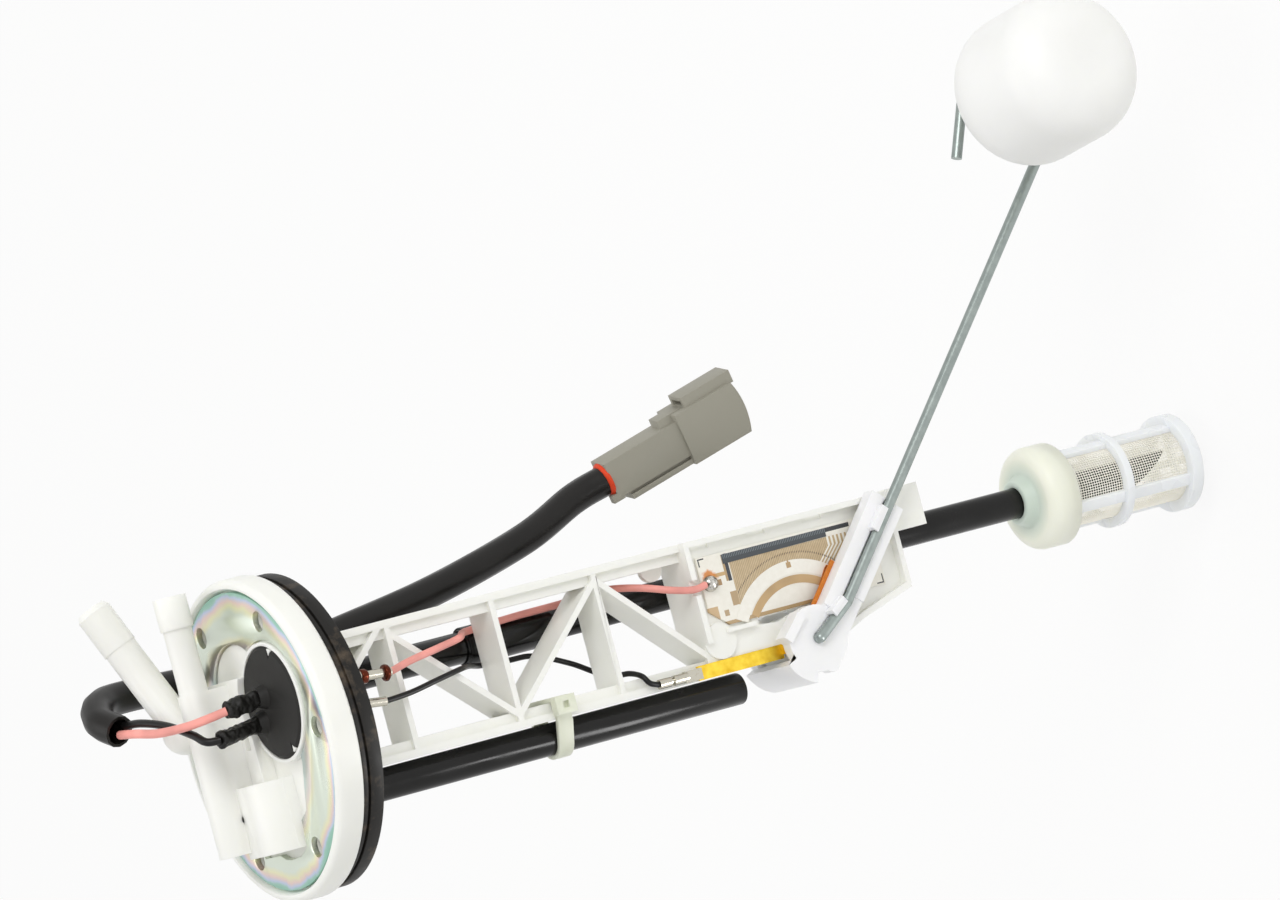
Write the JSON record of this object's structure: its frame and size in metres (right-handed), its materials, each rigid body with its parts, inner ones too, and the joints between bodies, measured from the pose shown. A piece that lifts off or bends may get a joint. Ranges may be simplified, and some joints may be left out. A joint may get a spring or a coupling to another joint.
{
  "type": "fuel tank sending unit",
  "caption": "Tank sending unit: round flange with hose barbs, truss arm with resistor-card level sender and float arm, pick-up line with strainer, return hose and wired lead.",
  "frame": {"origin": "centre of the bolt circle on the gasket's underside, where it meets the tank", "axes": "+Z is the flange's outward normal, away from the tank; the truss arm hangs to -Z, its resistor card faces -Y, and the float arm swings out to +X"},
  "size_m": [0.2042, 0.1247, 0.3729],
  "materials": {
    "white_acetal": "satin",
    "white_acetal_arm": "satin",
    "plated_steel": "zinc plated, yellow passivated",
    "black_rubber": "matt",
    "boot_rubber": "matt",
    "tinned_brass": "tinned",
    "shrink_tube": "satin",
    "pink_insulation": "satin",
    "black_insulation": "satin",
    "ceramic_card": "fired ceramic",
    "resistor_ink": "fired ink",
    "silver_ink": "fired ink",
    "tan_ink": "fired ink",
    "solder": "bright solder",
    "brass_strip": "rolled",
    "nylon_carrier": "satin",
    "copper_spring": "phosphor bronze",
    "steel_wire": "drawn, plated",
    "float_foam": "closed skin",
    "black_nylon": "gloss",
    "hose_rubber": "satin",
    "natural_nylon": "satin",
    "ivory_nylon": "satin",
    "clear_nylon": "translucent",
    "woven_screen": "woven",
    "sleeve_vinyl": "satin",
    "grey_plastic": "satin",
    "orange_silicone": "matt",
    "orange_plastic": "satin"
  },
  "bodies": {
    "unit": {"flange_moulding": "white_acetal", "steel_ring": "plated_steel", "gasket": "black_rubber", "terminal_boot": "boot_rubber", "signal_post": "tinned_brass", "ground_post": "tinned_brass", "pink_sleeve": "shrink_tube", "black_sleeve": "shrink_tube", "signal_terminal": "tinned_brass", "ground_terminal": "tinned_brass", "wire_pink_out": "pink_insulation", "wire_black_out": "black_insulation", "wire_pink_in": "pink_insulation", "wire_black_in": "black_insulation", "truss_arm": "white_acetal_arm", "resistor_card": "ceramic_card", "resistor_film": "resistor_ink", "contact_comb": "silver_ink", "contact_arc": "tan_ink", "solder_joint": "solder", "ground_strip": "brass_strip", "strip_terminal": "tinned_brass", "pickup_upper_pipe": "black_nylon", "pickup_joiner": "black_rubber", "pickup_lower_pipe": "black_nylon", "return_hose": "hose_rubber", "cable_tie": "natural_nylon", "strainer_cup": "ivory_nylon", "strainer_cage": "clear_nylon", "strainer_mesh": "woven_screen", "lead_sleeve": "sleeve_vinyl", "plug_shell": "grey_plastic", "plug_seal": "orange_silicone", "plug_wedge": "orange_plastic", "plug_pins": "tinned_brass"},
    "arm": {"arm_carrier": "nylon_carrier", "wiper_contact": "copper_spring", "float_wire": "steel_wire", "shaft_clip": "steel_wire"},
    "float": {"float": "float_foam"}
  },
  "joints": [
    {"name": "arm_swing", "type": "hinge", "parent": "unit", "child": "arm", "pos_m": [-0.0125, 0, -0.165], "axis": [0, -1, 0], "range_deg": [0, 82]},
    {"name": "float_swivel", "type": "hinge", "parent": "arm", "child": "float", "pos_m": [0.13638, -0.016, -0.27928], "axis": [0.6743, 0, 0.7385], "range_deg": [-6, 0]}
  ]
}
